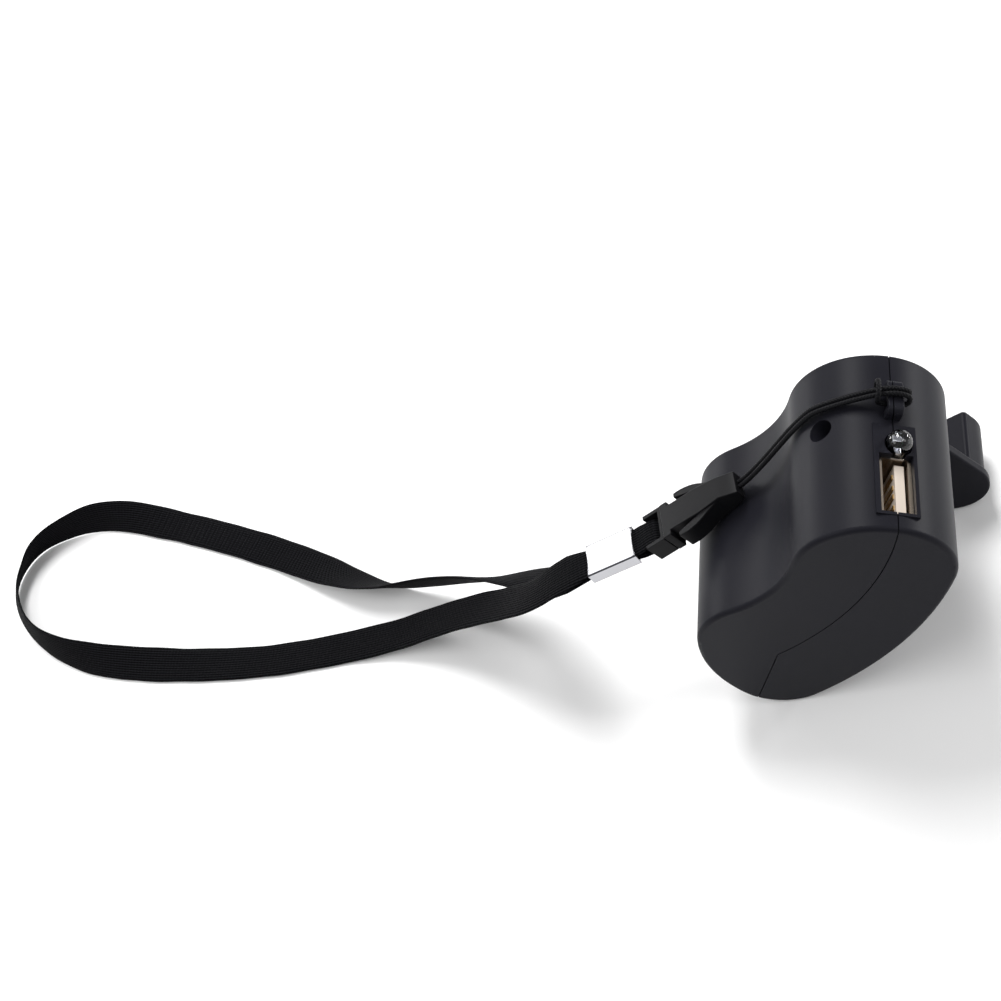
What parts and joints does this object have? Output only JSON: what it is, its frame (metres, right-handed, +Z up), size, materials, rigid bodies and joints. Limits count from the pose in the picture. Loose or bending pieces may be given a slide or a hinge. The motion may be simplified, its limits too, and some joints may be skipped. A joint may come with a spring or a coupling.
{
  "type": "hand crank charger",
  "caption": "Pocket hand crank phone charger: USB socket, lamp, crank with turning grip, gear train and generator inside, and a wrist lanyard with a release buckle.",
  "frame": {"origin": "bottom centre of the box round the charger's casing and crank, lanyard left out, on the surface it lies on", "axes": "+Z up from the surface, +Y along the crank shaft to the crank side, +X across the casing to the USB end"},
  "size_m": [0.3052, 0.0938, 0.0709],
  "materials": {
    "matte_black_plastic": "fine matte moulded ABS",
    "black_steel": "black oxide screws",
    "nickel": "nickel plated sheet, warm tone",
    "black_insulator": "moulded insulator",
    "gold_contact": "gold plated contacts",
    "clear_lens": "clear epoxy lamp lens",
    "tinned_wire": "tinned wire",
    "board_green": "solder mask",
    "capacitor_sleeve": "shrunk sleeve",
    "copper_wire": "copper",
    "zinc_steel": "zinc plated sheet",
    "bright_steel": "ground steel",
    "sintered_bronze": "oil filled sintered bronze",
    "white_nylon": "unfilled nylon",
    "dark_ferrite": "ferrite magnet",
    "red_insulation": "wire insulation",
    "black_insulation": "wire insulation",
    "braided_cord": "braided polyester cord",
    "buckle_plastic": "moulded acetal",
    "black_webbing": "ribbed polyester webbing",
    "polished_crimp": "polished plated crimp"
  },
  "bodies": {
    "root": {"waist_side_casing": "matte_black_plastic", "belly_side_casing": "matte_black_plastic", "casing_screws": "black_steel", "usb_socket_shell": "nickel", "usb_socket_block": "black_insulator", "usb_contacts": "gold_contact", "indicator_lamp": "clear_lens", "lamp_leads": "tinned_wire", "circuit_board": "board_green", "smoothing_capacitor": "capacitor_sleeve", "voltage_regulator": "black_insulator", "rectifier_diodes": "black_insulator", "power_coil": "copper_wire", "gear_carrier_plate": "zinc_steel", "gear_cover_plate": "zinc_steel", "plate_posts": "zinc_steel", "first_axle": "bright_steel", "second_axle": "bright_steel", "front_shaft_bush": "sintered_bronze", "rear_shaft_bush": "sintered_bronze", "generator_can": "zinc_steel", "generator_end_cap": "white_nylon", "generator_screws": "bright_steel", "generator_magnets": "dark_ferrite", "generator_brushes": "copper_wire", "generator_terminals": "copper_wire", "generator_lead_red": "red_insulation", "generator_lead_black": "black_insulation", "lanyard_cord": "braided_cord", "release_socket": "buckle_plastic"},
    "crank": {"crank_shaft": "bright_steel", "crank_gear": "white_nylon", "crank_arm": "matte_black_plastic", "crank_screw": "black_steel", "grip_pin": "black_steel"},
    "grip": {"crank_grip": "matte_black_plastic"},
    "first_idler": {"first_compound_gear": "white_nylon"},
    "second_idler": {"second_compound_gear": "white_nylon"},
    "rotor": {"armature_core": "bright_steel", "armature_windings": "copper_wire", "commutator": "copper_wire", "rotor_shaft": "bright_steel", "rotor_pinion": "white_nylon"},
    "strap": {"release_plug": "buckle_plastic", "strap_fold": "black_webbing", "strap_crimp": "polished_crimp", "wrist_strap": "black_webbing"}
  },
  "joints": [
    {"name": "crank_turn", "type": "hinge", "parent": "root", "child": "crank", "pos_m": [0.00793, 0.014, 0.0409], "axis": [0, 1, 0], "continuous": true},
    {"name": "first_idler_turn", "type": "hinge", "parent": "root", "child": "first_idler", "pos_m": [0.00012, -0.0031, 0.02694], "axis": [0, 1, 0], "continuous": true},
    {"name": "second_idler_turn", "type": "hinge", "parent": "root", "child": "second_idler", "pos_m": [-0.01237, -0.0031, 0.0206], "axis": [0, 1, 0], "continuous": true},
    {"name": "rotor_turn", "type": "hinge", "parent": "root", "child": "rotor", "pos_m": [-0.00575, -0.0187, 0.03061], "axis": [0, 1, 0], "continuous": true},
    {"name": "grip_turn", "type": "hinge", "parent": "crank", "child": "grip", "pos_m": [0.02189, 0.0164, 0.009], "axis": [0, 1, 0], "continuous": true},
    {"name": "plug_slide", "type": "slide", "parent": "root", "child": "strap", "axis": [-0.9278, -0.204, -0.3123], "range_m": [0, 0.014]}
  ],
  "couplings": [
    {"joint": "first_idler_turn", "follows": "crank_turn", "ratio": -3},
    {"joint": "second_idler_turn", "follows": "crank_turn", "ratio": 9},
    {"joint": "rotor_turn", "follows": "crank_turn", "ratio": -27}
  ]
}
